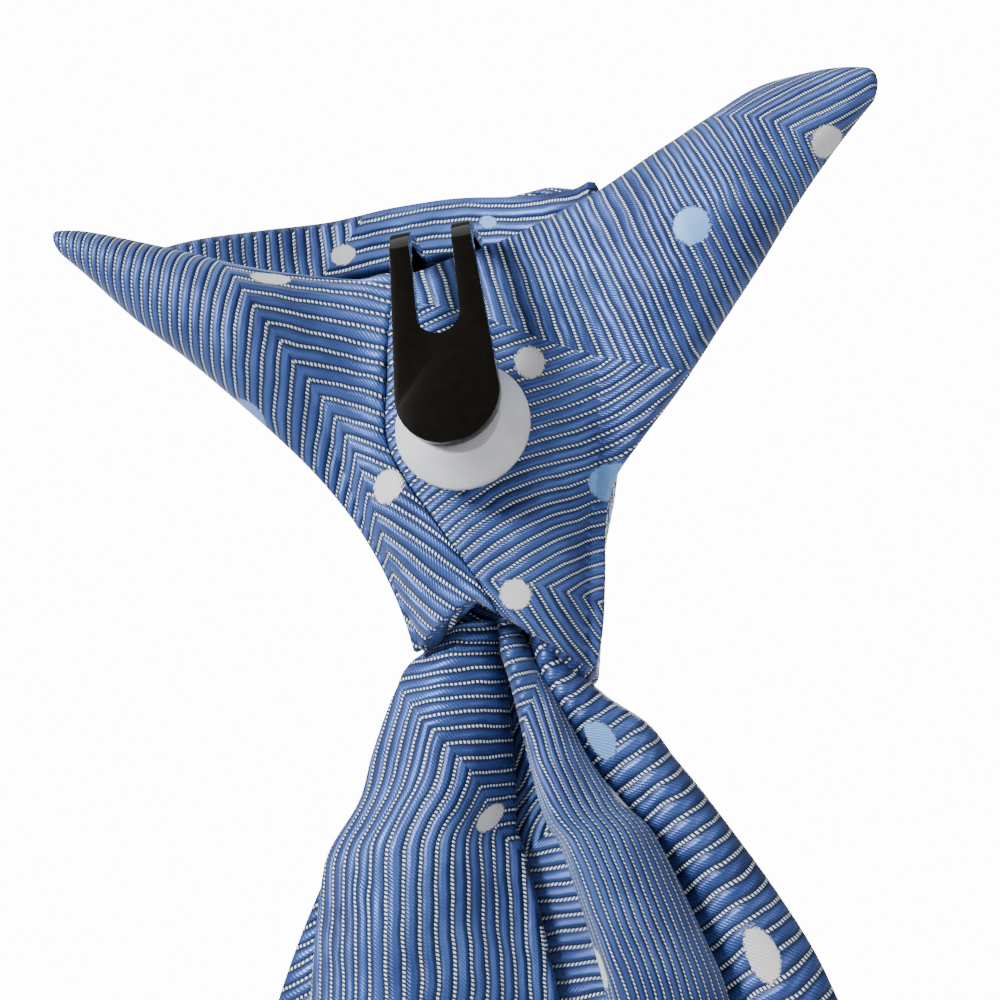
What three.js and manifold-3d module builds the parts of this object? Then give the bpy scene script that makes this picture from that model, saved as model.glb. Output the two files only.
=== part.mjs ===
// A clip-on necktie, seen as it hangs from the collar: a wound knot with two short padded wings
// that wrap across its back, a hooked clip, a round grip button and two folded blades.
// Millimetres. +Z is up, +Y is the side that faces out from the wearer, and the origin is
// under the clip's hook, where the top edge of the collar band sits.
import * as THREE from "three";
import { ParametricGeometry } from "three/addons/geometries/ParametricGeometry.js";
import { mergeVertices } from "three/addons/utils/BufferGeometryUtils.js";
import Module from "manifold-3d";

const wasm = await Module();
wasm.setup();

// Driving sizes
const clearance = 0.3; // between pieces that lie against each other
const collarGap = 4.6; // the space for the collar band, between the clip's plate and the wraps

const knotRise = 12.4; // top edge of the knot's front above the origin
const knotHeight = 68; // top edge to bottom edge, at the right
const knotHalfWidth = 25;
const knotHalfDepth = 11;
const knotWall = 2.2;
const knotRoundness = 2.5; // 2 is an ellipse, and more is squarer
const knotBackDrop = 15.5; // the back wall's top edge lies this far below the front's
const bottomSlope = 0.31; // the bottom edge climbs to the left
const archPeak = 10.8; // peak of the arch in the back, above the bottom edge
const archOff = -2.0; // and its place from the middle
const archSlopeLeft = 0.54;
const archSlopeRight = 0.8;

const leftReach = 47.5; // wing tips from the middle of the knot
const rightReach = 56.7;
const wingRise = 10.2; // highest point of the wings above the origin
const wingThickness = 14; // the padded part
const wrapThickness = 2.4; // where a wing's cloth lies across the knot's back
const tipBack = 8; // the wing tips lie this far behind the origin

const bandHeight = 7;
const bandThickness = 2;
const bandLeft = 37; // its ends, from the middle of the knot
const bandRight = 20;

const clipThickness = 1.8;
const plateLength = 27.9; // from the hook's underside to the rounded end
const plateEndWidth = 12.9;
const plateTopWidth = 10.2;
const plateTilt = 9; // degrees; the rounded end stands further off the knot
const slotWidth = 5.4;
const slotLength = 13.5; // below the hook's underside
const bendRadius = 3.2; // of the clip's middle line, at the hook's two corners
const legLength = 17.5; // below the hook's underside, in the knot's pocket

const buttonRadius = 8.4;
const buttonCrownRadius = 5.4;
const buttonStemRadius = 4.6;
const buttonRim = 1.2;
const buttonDrop = 25.2; // its middle below the origin
const buttonOff = 0.6; // and to the right

const cloth = 1.2; // one layer of a blade
const hemGap = 0.6; // between a blade's layers
const bladeGap = 0.5; // between the two blades
const bladeTuck = 9; // how far the blades reach up into the knot
const bladePuff = 7; // depth unit of the loose folds under the knot
const flareLength = 110; // the stretch over which the folds open out flat
const frontLength = 412; // below the knot, to the point
const frontHalfWidth = 44;
const rearLength = 350;
const rearHalfWidth = 24;
const pointSlope = 1.05; // rise of a blade's end per millimetre off its middle

// Places worked out from the driving sizes
const knotBottom = knotRise - knotHeight;
const wingSteps = 22; // sections along a wing
const wrapSeat = 1.5 * clearance; // the wraps lie this far off the knot's back
const knotBackFace = collarGap / 2 + wrapThickness + wrapSeat;
const plateFace = -collarGap / 2 - clipThickness;

// Value of a column at a place along a table, on a smooth curve through its rows
function follow(rows, key, column, at) {
  const last = rows.length - 1;
  let i = 0;
  while (i < last - 1 && at > rows[i + 1][key]) i++;
  const [a, b] = [rows[i], rows[i + 1]];
  const [before, after] = [rows[Math.max(i - 1, 0)], rows[Math.min(i + 2, last)]];
  const step = b[key] - a[key];
  const t = THREE.MathUtils.clamp((at - a[key]) / step, 0, 1);
  const slope = (p, q) => ((q[column] - p[column]) / (q[key] - p[key])) * step;
  const [t2, t3] = [t * t, t * t * t];
  return (
    a[column] * (2 * t3 - 3 * t2 + 1) +
    b[column] * (3 * t2 - 2 * t3) +
    slope(before, b) * (t3 - 2 * t2 + t) +
    slope(a, after) * (t3 - t2)
  );
}

// Rows with an even key from 0 to 1, for tables whose rows are simply in order
const inOrder = (rows) => rows.map((row, i) => ({ ...row, at: i / (rows.length - 1) }));

// A closed mesh as a solid, with doubled corners merged and empty triangles dropped
function solidOf(geometry) {
  for (const name of Object.keys(geometry.attributes))
    if (name !== "position") geometry.deleteAttribute(name);
  const merged = mergeVertices(geometry, 1e-3);
  const corners = merged.index.array;
  const kept = [];
  for (let i = 0; i < corners.length; i += 3) {
    const [a, b, c] = corners.slice(i, i + 3);
    if (a !== b && b !== c && c !== a) kept.push(a, b, c);
  }
  const vertProperties = merged.attributes.position.array;
  const made = (triVerts) => new wasm.Manifold(new wasm.Mesh({ numProp: 3, vertProperties, triVerts }));
  const solid = made(new Uint32Array(kept));
  return solid.volume() > 0 ? solid : made(new Uint32Array(kept.reverse()));
}

function geometryOf(solid) {
  const mesh = solid.getMesh();
  const geometry = new THREE.BufferGeometry();
  geometry.setAttribute("position", new THREE.BufferAttribute(mesh.vertProperties, mesh.numProp));
  geometry.setIndex(new THREE.BufferAttribute(mesh.triVerts, 1));
  geometry.computeVertexNormals();
  return geometry;
}

// The biggest body of a cut solid, because a cut can leave slivers behind
function largest(solid) {
  return solid.decompose().reduce((a, b) => (a.volume() > b.volume() ? a : b));
}

// The room that a neighbour needs: its solid, and copies of it moved each way by the clearance
function roomFor(solid) {
  const moves = [0, 1, 2].flatMap((axis) => [-clearance, clearance].map((step) => [axis, step]));
  return moves.reduce((room, [axis, step]) => {
    const move = [0, 0, 0];
    move[axis] = step;
    return room.add(solid.translate(move));
  }, solid);
}

// A rounded form: point(turn, along) for a turn of 0 to 1 round it, closed at both ends
function roundSolid(point, aroundSteps, alongSteps) {
  const spot = new THREE.Vector3();
  const shape = (u, v, target) => {
    const row = Math.round(v * (alongSteps + 2));
    const along = THREE.MathUtils.clamp((row - 1) / alongSteps, 0, 1);
    if (row > 0 && row < alongSteps + 2) return point(u === 1 ? 0 : u, along, target);
    target.set(0, 0, 0);
    for (let i = 0; i < aroundSteps; i++) target.add(point(i / aroundSteps, along, spot));
    return target.divideScalar(aroundSteps);
  };
  return solidOf(new ParametricGeometry(shape, aroundSteps, alongSteps + 2));
}

// A sheet of cloth of even thickness on a middle surface point(across, along)
function sheetSolid(point, thickness, acrossSteps, alongSteps) {
  const small = 1e-3;
  const [p, q] = [new THREE.Vector3(), new THREE.Vector3()];
  const [sideways, lengthways] = [new THREE.Vector3(), new THREE.Vector3()];
  const offset = (across, along, side, target) => {
    point(Math.min(across + small, 1), along, p);
    sideways.subVectors(p, point(Math.max(across - small, 0), along, q));
    point(across, Math.min(along + small, 1), p);
    lengthways.subVectors(p, point(across, Math.max(along - small, 0), q));
    const normal = sideways.cross(lengthways).normalize();
    return point(across, along, target).addScaledVector(normal, (side * thickness) / 2);
  };
  const around = 2 * acrossSteps + 2;
  const shape = (u, v, target) => {
    const row = Math.round(v * (alongSteps + 2));
    const along = THREE.MathUtils.clamp((row - 1) / alongSteps, 0, 1);
    const step = Math.round(u * around) % around;
    const firstSide = step <= acrossSteps;
    const across = firstSide ? step / acrossSteps : (around - 1 - step) / acrossSteps;
    const isEnd = row === 0 || row === alongSteps + 2;
    return offset(across, along, isEnd ? 0 : firstSide ? 1 : -1, target);
  };
  return solidOf(new ParametricGeometry(shape, around, alongSteps + 2));
}

function extrudedSolid(outline, depth, curveSegments = 9) {
  return solidOf(new THREE.ExtrudeGeometry(outline, { depth, bevelEnabled: false, curveSegments }));
}

// Drawn as width and height, and extruded through the depth from a place along Y
function extrudedForward(outline, from, depth) {
  return extrudedSolid(outline, depth).rotate([90, 0, 0]).translate([0, from + depth, 0]);
}

// Drawn as depth and height, and extruded across the width, half to each side
function extrudedAcross(outline, width) {
  return extrudedSolid(outline, width).rotate([90, 0, 90]).translate([-width / 2, 0, 0]);
}

const shapeOf = (points) => new THREE.Shape(points.map(([x, y]) => new THREE.Vector2(x, y)));

// The knot: a hollow wrap that narrows downwards. wide and lean are shares of its half width,
// deep and back shares of its half depth; back is how far its back face lies behind the top's.
const knotSections = [
  { down: 0.0, wide: 0.95, lean: -0.08, deep: 0.8, back: 0.0 },
  { down: 0.08, wide: 1.0, lean: -0.08, deep: 0.86, back: 0.0 },
  { down: 0.25, wide: 0.9, lean: -0.04, deep: 0.96, back: 0.0 },
  { down: 0.5, wide: 0.75, lean: 0.0, deep: 1.0, back: 0.04 },
  { down: 0.65, wide: 0.65, lean: 0.0, deep: 0.98, back: 0.04 },
  { down: 0.76, wide: 0.55, lean: 0.0, deep: 0.94, back: 0.0 },
  { down: 0.88, wide: 0.47, lean: 0.02, deep: 0.9, back: -0.04 },
  { down: 1.0, wide: 0.42, lean: 0.0, deep: 0.86, back: -0.08 },
];

function knotSize(z) {
  const down = (knotRise - z) / knotHeight;
  const get = (column) => follow(knotSections, "down", column, down);
  const deep = get("deep") * knotHalfDepth;
  return {
    wide: get("wide") * knotHalfWidth,
    centre: get("lean") * knotHalfWidth,
    deep,
    middle: knotBackFace - get("back") * knotHalfDepth + deep,
  };
}

// A closed outline of the knot at a height, for a turn of 0 to 1 from its right side to the front
function knotPoint(turn, z, grow, target) {
  const { wide, centre, deep, middle } = knotSize(z);
  const angle = turn * 2 * Math.PI;
  const squared = (value) => Math.sign(value) * Math.abs(value) ** (2 / knotRoundness);
  return target.set(
    centre + (wide + grow) * squared(Math.cos(angle)),
    middle + (deep + grow) * squared(Math.sin(angle)),
    z,
  );
}

// How far forward the knot's back face lies at a place in the back view
function knotBack(x, z) {
  const { wide, centre, deep, middle } = knotSize(Math.min(z, knotRise - knotBackDrop));
  const share = Math.min(Math.abs(x - centre) / wide, 0.92);
  return middle - deep * (1 - share ** knotRoundness) ** (1 / knotRoundness);
}

function knotEnvelope(grow, lengthen) {
  const [top, bottom] = [knotRise + lengthen, knotBottom - lengthen];
  const point = (turn, along, target) =>
    knotPoint(turn, THREE.MathUtils.lerp(top, bottom, along), grow, target);
  return roundSolid(point, 36, 12);
}

// Everything above the slant that joins the front's top edge to the back's
function aboveSlant() {
  const far = 3 * knotHalfDepth;
  const [backTop, slope] = [knotRise - knotBackDrop, knotBackDrop / (1.5 * knotHalfDepth)];
  const outline = shapeOf([
    [knotBackFace - far, backTop],
    [knotBackFace + knotWall, backTop],
    [knotBackFace + far, backTop + slope * (far - knotWall)],
    [knotBackFace + far, knotRise + far],
    [knotBackFace - far, knotRise + far],
  ]);
  return extrudedAcross(outline, 6 * knotHalfWidth);
}

// What lies below the slanted bottom edge, and below the arch in the back of the knot
function belowKnot() {
  const far = 2 * knotHalfWidth;
  const { middle, wide: right } = knotSize(knotBottom);
  const deepest = knotBottom - far;
  const slant = shapeOf([
    [far, knotBottom - bottomSlope * (far - right)],
    [-far, knotBottom + bottomSlope * (far + right)],
    [-far, deepest - far],
    [far, deepest - far],
  ]);
  const peak = knotBottom + archPeak;
  const arch = shapeOf([
    [archOff, peak],
    [-far, peak - (far + archOff) * archSlopeLeft],
    [-far, deepest - far],
    [far, deepest - far],
    [far, peak - (far - archOff) * archSlopeRight],
  ]);
  const behind = middle + far;
  return extrudedForward(slant, -far, 2 * far + middle).add(extrudedForward(arch, middle - behind, behind));
}

function knotShell(grow = 0) {
  const outside = knotEnvelope(grow, grow);
  return outside.subtract(knotEnvelope(-knotWall - grow, 1 + grow));
}

function makeKnot() {
  return largest(knotShell().subtract(aboveSlant()).subtract(belowKnot()));
}

// The wings: each row joins a place on the upper outline to one on the lower. upOut and lowOut
// are shares of the wing's reach, upRise and lowRise of wingRise, thick of wingThickness, and
// wrap goes from 0, a free padded tube, to 1, a layer that lies across the knot's back.
const rightWing = inOrder([
  { upOut: 1.0, upRise: 0.8, lowOut: 0.995, lowRise: 0.49, thick: 0.25, wrap: 0 },
  { upOut: 0.92, upRise: 0.97, lowOut: 0.935, lowRise: 0.24, thick: 0.45, wrap: 0 },
  { upOut: 0.835, upRise: 1.05, lowOut: 0.87, lowRise: -0.06, thick: 0.62, wrap: 0 },
  { upOut: 0.74, upRise: 1.06, lowOut: 0.79, lowRise: -0.48, thick: 0.8, wrap: 0 },
  { upOut: 0.63, upRise: 0.88, lowOut: 0.695, lowRise: -1.06, thick: 0.95, wrap: 0 },
  { upOut: 0.51, upRise: 0.66, lowOut: 0.59, lowRise: -1.66, thick: 1.0, wrap: 0 },
  { upOut: 0.4, upRise: 0.47, lowOut: 0.485, lowRise: -2.25, thick: 1.0, wrap: 0.15 },
  { upOut: 0.255, upRise: 0.22, lowOut: 0.38, lowRise: -2.75, thick: 0.85, wrap: 0.45 },
  { upOut: 0.12, upRise: -0.02, lowOut: 0.303, lowRise: -3.16, thick: 0.65, wrap: 0.8 },
  { upOut: -0.018, upRise: -0.17, lowOut: 0.268, lowRise: -3.66, thick: 0.5, wrap: 1 },
  { upOut: -0.127, upRise: -0.4, lowOut: 0.247, lowRise: -4.35, thick: 0.4, wrap: 1 },
  { upOut: -0.155, upRise: -1.43, lowOut: 0.22, lowRise: -5.04, thick: 0.4, wrap: 1 },
  { upOut: -0.173, upRise: -2.36, lowOut: 0.165, lowRise: -5.8, thick: 0.4, wrap: 1 },
  { upOut: -0.088, upRise: -3.4, lowOut: 0.125, lowRise: -5.6, thick: 0.4, wrap: 1 },
  { upOut: -0.034, upRise: -3.92, lowOut: 0.065, lowRise: -5.2, thick: 0.4, wrap: 1 },
]);
const leftWing = inOrder([
  { upOut: -0.985, upRise: 0.8, lowOut: -0.98, lowRise: 0.55, thick: 0.25, wrap: 0 },
  { upOut: -0.905, upRise: 0.78, lowOut: -0.915, lowRise: 0.21, thick: 0.5, wrap: 0 },
  { upOut: -0.8, upRise: 0.65, lowOut: -0.815, lowRise: -0.36, thick: 0.74, wrap: 0 },
  { upOut: -0.653, upRise: 0.43, lowOut: -0.695, lowRise: -0.94, thick: 0.92, wrap: 0 },
  { upOut: -0.505, upRise: 0.18, lowOut: -0.586, lowRise: -1.52, thick: 1.0, wrap: 0 },
  { upOut: -0.358, upRise: 0.01, lowOut: -0.49, lowRise: -2.06, thick: 0.9, wrap: 0.25 },
  { upOut: -0.232, upRise: -0.14, lowOut: -0.415, lowRise: -2.54, thick: 0.7, wrap: 0.6 },
  { upOut: -0.126, upRise: -0.22, lowOut: -0.345, lowRise: -3.1, thick: 0.5, wrap: 0.9 },
  { upOut: -0.063, upRise: -1.04, lowOut: -0.287, lowRise: -3.74, thick: 0.4, wrap: 1 },
  { upOut: -0.042, upRise: -2.22, lowOut: -0.245, lowRise: -4.42, thick: 0.4, wrap: 1 },
  { upOut: 0.042, upRise: -3.4, lowOut: -0.222, lowRise: -5.04, thick: 0.4, wrap: 1 },
  { upOut: 0.168, upRise: -4.35, lowOut: -0.168, lowRise: -5.9, thick: 0.4, wrap: 1 },
]);

function wingSolid(rows, reach) {
  const point = (turn, along, target) => {
    const get = (column) => follow(rows, "at", column, along);
    const angle = turn * 2 * Math.PI;
    const up = new THREE.Vector2(get("upOut") * reach, get("upRise") * wingRise);
    const low = new THREE.Vector2(get("lowOut") * reach, get("lowRise") * wingRise);
    const place = up.lerp(low, 0.5 - 0.5 * Math.cos(angle));
    const round = Math.sin(angle);
    const half = (get("thick") * wingThickness) / 2;
    const centre = knotBackFace - (tipBack + knotBackFace) * (place.x / reach) ** 2;
    const flat = Math.sign(round) * Math.abs(round) ** 0.4;
    const layer = knotBack(place.x, place.y) - wrapSeat - (wrapThickness / 2) * (1 - flat);
    const wrap = THREE.MathUtils.clamp(get("wrap"), 0, 1);
    return target.set(place.x, THREE.MathUtils.lerp(centre + half * round, layer, wrap), place.y);
  };
  return roundSolid(point, 16, wingSteps);
}

// Everything to the right of the seam, where the right wing's edge crosses the knot's back
function rightOfSeam() {
  const far = 3 * knotHeight;
  const place = (side, along) => {
    const get = (column) => follow(rightWing, "at", side + column, along);
    return new THREE.Vector2(get("Out") * rightReach, get("Rise") * wingRise);
  };
  const edge = [];
  for (let i = wingSteps / 2; i <= wingSteps; i++) edge.push(place("up", i / wingSteps));
  edge.push(place("low", 1));
  const seam = edge.map((point, i) => {
    const [before, after] = [edge[Math.max(i - 1, 0)], edge[Math.min(i + 1, edge.length - 1)]];
    const run = after.clone().sub(before).normalize();
    return [point.x + run.y * wrapSeat, point.y - run.x * wrapSeat];
  });
  const [[topX], [footX]] = [seam[0], seam[seam.length - 1]];
  const outline = shapeOf([[topX, far], ...seam, [footX, -far], [far, -far], [far, far]]);
  return extrudedForward(outline, -far, 2 * far);
}

function makeWings() {
  const body = knotEnvelope(clearance, clearance).add(knotEnvelope(clearance - knotWall, 2 * knotRise));
  const outside = (wing) => wing.subtract(body).subtract(belowKnot());
  const right = outside(wingSolid(rightWing, rightReach));
  const left = outside(wingSolid(leftWing, leftReach)).subtract(rightOfSeam());
  return { right: largest(right), left: largest(left) };
}

const group = new THREE.Group();
function add(name, solid, material) {
  const mesh = new THREE.Mesh(geometryOf(solid), material);
  mesh.name = name;
  group.add(mesh);
  return solid;
}

// The inner face of the neck loop: a strip inside the knot's front that runs out to the left wing.
// out is a share of the strip's reach to its side, and fore a share of the knot's half depth.
const bandPath = inOrder([
  { out: -1.0, fore: -0.62, top: 0.36 },
  { out: -0.84, fore: -0.2, top: 0.54 },
  { out: -0.66, fore: 0.42, top: 0.72 },
  { out: -0.44, fore: 0.98, top: 0.86 },
  { out: -0.2, fore: 1.2, top: 0.96 },
  { out: 0.1, fore: 1.24, top: 0.93 },
  { out: 0.5, fore: 1.12, top: 0.78 },
  { out: 0.84, fore: 0.8, top: 0.64 },
  { out: 1.0, fore: 0.45, top: 0.58 },
]);

function makeBand(neighbours) {
  const point = (across, along, target) => {
    const get = (column) => follow(bandPath, "at", column, along);
    const out = get("out");
    const x = out * (out < 0 ? bandLeft : bandRight);
    const y = knotBackFace + get("fore") * knotHalfDepth;
    return target.set(x, y, get("top") * knotRise - across * bandHeight);
  };
  const strip = sheetSolid(point, bandThickness, 3, 28);
  return largest(neighbours.reduce((rest, neighbour) => rest.subtract(roomFor(neighbour)), strip));
}

// The clip: one bent strip, a plate outside the collar band and two prongs over it
function makeClip() {
  const tilt = THREE.MathUtils.degToRad(plateTilt);
  const middle = clipThickness / 2;
  const plateTop = -bendRadius;
  const legPlace = knotBackFace + knotWall + clearance + middle;
  const plateMiddle = plateFace + middle;
  const line = new THREE.Path();
  const drop = plateLength + plateTop;
  line.moveTo(plateMiddle - Math.tan(tilt) * drop, -plateLength);
  line.lineTo(plateMiddle, plateTop);
  line.absarc(plateMiddle + bendRadius, middle - bendRadius, bendRadius, Math.PI - tilt, Math.PI / 2, true);
  line.absarc(legPlace - bendRadius, middle - bendRadius, bendRadius, Math.PI / 2, 0, true);
  line.lineTo(legPlace, -legLength);
  const bend = extrudedAcross(thickened(line.getPoints(6), clipThickness), 2 * plateEndWidth);
  const front = extrudedForward(plateOutline(), -2 * plateLength, 4 * plateLength);
  return largest(bend.intersect(front));
}

// The strip's front outline: a rounded end, a taper, and a slot that splits it into two prongs
function plateOutline() {
  const [end, top, slot] = [plateEndWidth / 2, plateTopWidth / 2, slotWidth / 2];
  const far = 2 * clipThickness;
  const outline = new THREE.Shape();
  outline.absarc(0, end - plateLength, end, Math.PI, 2 * Math.PI, false);
  outline.lineTo(top, 0);
  outline.lineTo(top, far);
  outline.lineTo(slot, far);
  outline.lineTo(slot, slot - slotLength);
  outline.absarc(0, slot - slotLength, slot, 0, -Math.PI, true);
  outline.lineTo(-slot, far);
  outline.lineTo(-top, far);
  outline.lineTo(-top, 0);
  return outline;
}

// An outline round a line of points, half the thickness to each side
function thickened(points, thickness) {
  const sides = points.map((point, i) => {
    const [before, after] = [points[Math.max(i - 1, 0)], points[Math.min(i + 1, points.length - 1)]];
    const along = after.clone().sub(before).normalize();
    return new THREE.Vector2(-along.y, along.x).multiplyScalar(thickness / 2);
  });
  const left = points.map((point, i) => point.clone().add(sides[i]));
  const right = points.map((point, i) => point.clone().sub(sides[i]));
  return new THREE.Shape([...left, ...right.reverse()]);
}

// The grip button: a thin flared rim on a stem, with a raised crown that the plate rests on
function makeButton(wrapSolids) {
  const tilt = THREE.MathUtils.degToRad(plateTilt);
  const drop = buttonDrop - bendRadius;
  const crown = plateFace + clipThickness - Math.tan(tilt) * drop + clearance;
  const seat = knotBack(0, -buttonDrop) - wrapThickness / 2;
  const height = (seat - crown) * Math.cos(tilt);
  const profile = [
    [0, 0],
    [buttonStemRadius, 0],
    [buttonStemRadius * 0.94, height * 0.3],
    [buttonRadius * 0.86, height * 0.52],
    [buttonRadius, height * 0.56],
    [buttonRadius, height * 0.56 + buttonRim * 0.5],
    [buttonRadius * 0.94, height * 0.56 + buttonRim],
    [buttonCrownRadius * 1.1, height * 0.9],
    [buttonCrownRadius, height],
    [0, height],
  ].map(([x, y]) => new THREE.Vector2(x, y));
  const turned = solidOf(new THREE.LatheGeometry(profile, 32)).rotate([180 - plateTilt, 0, 0]);
  const button = turned.translate([buttonOff, seat, -buttonDrop]);
  return largest(wrapSolids.reduce((rest, wrap) => rest.subtract(roomFor(wrap)), button));
}

// The blades: each row is a place round the folded cloth, from one hem across the front to the
// other. Out values are shares of the blade's half width there, and fore values shares of the
// knot's inner half depth for neck, of bladePuff for loose and of the layers' spacing for flat.
const frontFolds = inOrder([
  { neckOut: -0.25, neckFore: 0.15, looseOut: -0.1, looseFore: 0.22, flatOut: 0.03, flatFore: -1 },
  { neckOut: -0.6, neckFore: 0.12, looseOut: -0.5, looseFore: 0.17, flatOut: -0.35, flatFore: -1 },
  { neckOut: -0.9, neckFore: 0.18, looseOut: -0.88, looseFore: 0.14, flatOut: -0.85, flatFore: -1 },
  { neckOut: -0.98, neckFore: 0.38, looseOut: -1.0, looseFore: 0.42, flatOut: -1.0, flatFore: 0 },
  { neckOut: -0.8, neckFore: 0.66, looseOut: -0.85, looseFore: 0.75, flatOut: -0.85, flatFore: 1 },
  { neckOut: -0.45, neckFore: 0.78, looseOut: -0.4, looseFore: 0.9, flatOut: -0.4, flatFore: 1 },
  { neckOut: 0.0, neckFore: 0.6, looseOut: 0.0, looseFore: 0.74, flatOut: 0.0, flatFore: 1 },
  { neckOut: 0.45, neckFore: 0.78, looseOut: 0.4, looseFore: 0.9, flatOut: 0.4, flatFore: 1 },
  { neckOut: 0.85, neckFore: 0.55, looseOut: 0.85, looseFore: 0.65, flatOut: 0.85, flatFore: 1 },
  { neckOut: 0.98, neckFore: 0.0, looseOut: 1.0, looseFore: 0.1, flatOut: 1.0, flatFore: 0 },
  { neckOut: 0.92, neckFore: -0.5, looseOut: 0.87, looseFore: -0.48, flatOut: 0.85, flatFore: -1 },
  { neckOut: 0.68, neckFore: -0.75, looseOut: 0.64, looseFore: -0.05, flatOut: 0.4, flatFore: -1 },
  { neckOut: 0.45, neckFore: -0.4, looseOut: 0.4, looseFore: 0.25, flatOut: 0.1, flatFore: -1 },
]);
const rearFolds = inOrder([
  { neckOut: 0.51, neckFore: -0.38, looseOut: 0.2, looseFore: -0.45, flatOut: 0.05, flatFore: -1 },
  { neckOut: 0.43, neckFore: -0.6, looseOut: 0.06, looseFore: -0.7, flatOut: -0.3, flatFore: -1 },
  { neckOut: 0.17, neckFore: -0.82, looseOut: -0.22, looseFore: -1.45, flatOut: -0.6, flatFore: -1 },
  { neckOut: -0.3, neckFore: -0.88, looseOut: -0.6, looseFore: -1.7, flatOut: -0.88, flatFore: -1 },
  { neckOut: -1.0, neckFore: -0.5, looseOut: -1.0, looseFore: -0.9, flatOut: -1.0, flatFore: 0 },
  { neckOut: -0.85, neckFore: -0.2, looseOut: -0.82, looseFore: -0.25, flatOut: -0.88, flatFore: 1 },
  { neckOut: -0.3, neckFore: -0.1, looseOut: -0.3, looseFore: -0.1, flatOut: -0.3, flatFore: 1 },
  { neckOut: 0.3, neckFore: -0.1, looseOut: 0.4, looseFore: -0.15, flatOut: 0.3, flatFore: 1 },
  { neckOut: 0.8, neckFore: -0.15, looseOut: 0.9, looseFore: -0.3, flatOut: 0.88, flatFore: 1 },
  { neckOut: 1.0, neckFore: -0.42, looseOut: 1.0, looseFore: -0.65, flatOut: 1.0, flatFore: 0 },
  { neckOut: 0.95, neckFore: -0.76, looseOut: 0.86, looseFore: -1.15, flatOut: 0.88, flatFore: -1 },
  { neckOut: 0.78, neckFore: -0.88, looseOut: 0.6, looseFore: -1.35, flatOut: 0.5, flatFore: -1 },
  { neckOut: 0.68, neckFore: -0.64, looseOut: 0.5, looseFore: -1.0, flatOut: 0.15, flatFore: -1 },
]);

// How a blade opens out: down is a share of flareLength below the knot, wide and lean are shares
// of the blade's half width, and loose and flat are the weights of those two forms
const frontFlare = [
  { down: -0.1, wide: 0.17, lean: 0, loose: 0, flat: 0 },
  { down: -0.02, wide: 0.18, lean: 0, loose: 0, flat: 0 },
  { down: 0.02, wide: 0.26, lean: -0.01, loose: 0.05, flat: 0 },
  { down: 0.06, wide: 0.39, lean: -0.03, loose: 0.2, flat: 0 },
  { down: 0.1, wide: 0.455, lean: -0.04, loose: 0.45, flat: 0 },
  { down: 0.145, wide: 0.53, lean: -0.05, loose: 0.7, flat: 0 },
  { down: 0.27, wide: 0.7, lean: -0.06, loose: 1, flat: 0 },
  { down: 0.36, wide: 0.79, lean: -0.06, loose: 0.95, flat: 0.05 },
  { down: 0.6, wide: 0.9, lean: -0.03, loose: 0.4, flat: 0.6 },
  { down: 1.0, wide: 0.94, lean: 0, loose: 0, flat: 1 },
  { down: 4.0, wide: 1.0, lean: 0, loose: 0, flat: 1 },
];
const rearFlare = [
  { down: -0.1, wide: 0.19, lean: -0.12, loose: 0, flat: 0 },
  { down: -0.068, wide: 0.2, lean: -0.13, loose: 0, flat: 0 },
  { down: -0.045, wide: 0.3, lean: -0.2, loose: 0.05, flat: 0 },
  { down: -0.02, wide: 0.36, lean: -0.217, loose: 0.1, flat: 0 },
  { down: 0.0, wide: 0.405, lean: -0.225, loose: 0.2, flat: 0 },
  { down: 0.05, wide: 0.5, lean: -0.238, loose: 0.45, flat: 0 },
  { down: 0.1, wide: 0.59, lean: -0.24, loose: 0.7, flat: 0 },
  { down: 0.15, wide: 0.75, lean: -0.26, loose: 0.95, flat: 0 },
  { down: 0.18, wide: 0.83, lean: -0.235, loose: 1, flat: 0 },
  { down: 0.3, wide: 0.98, lean: -0.21, loose: 1, flat: 0 },
  { down: 0.36, wide: 1.04, lean: -0.2, loose: 0.95, flat: 0.05 },
  { down: 0.6, wide: 1.05, lean: -0.1, loose: 0.4, flat: 0.6 },
  { down: 1.0, wide: 0.98, lean: 0, loose: 0, flat: 1 },
  { down: 3.4, wide: 1.0, lean: 0, loose: 0, flat: 1 },
];

function bladeSolid({ folds, flare, length, halfWidth, side }) {
  const neck = knotSize(knotBottom);
  const neckDepth = neck.deep - knotWall;
  const layer = (cloth + hemGap) / 2;
  const plane = side * (cloth + (hemGap + bladeGap) / 2);
  const point = (across, along, target) => {
    const drop = (bladeTuck + length) * along ** 1.7 - bladeTuck;
    const down = drop / flareLength;
    const [loose, flat] = ["loose", "flat"].map((key) => follow(flare, "down", key, down));
    const tight = 1 - loose - flat;
    const get = (column) => follow(folds, "at", column, across);
    const out = tight * get("neckOut") + loose * get("looseOut") + flat * get("flatOut");
    const fore =
      tight * get("neckFore") * neckDepth +
      loose * get("looseFore") * bladePuff +
      flat * (plane + get("flatFore") * layer);
    const lean = follow(flare, "down", "lean", down);
    const wide = follow(flare, "down", "wide", down) * halfWidth;
    const x = lean * halfWidth + wide * out;
    const point = pointSlope * Math.abs(x) * THREE.MathUtils.smoothstep(along, 0.45, 1);
    return target.set(x, neck.middle + fore, knotBottom - drop + point);
  };
  return sheetSolid(point, cloth, 24, 22);
}

const frontBlade = {
  folds: frontFolds,
  flare: frontFlare,
  length: frontLength,
  halfWidth: frontHalfWidth,
  side: 1,
};
const rearBlade = {
  folds: rearFolds,
  flare: rearFlare,
  length: rearLength,
  halfWidth: rearHalfWidth,
  side: -1,
};

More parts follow.
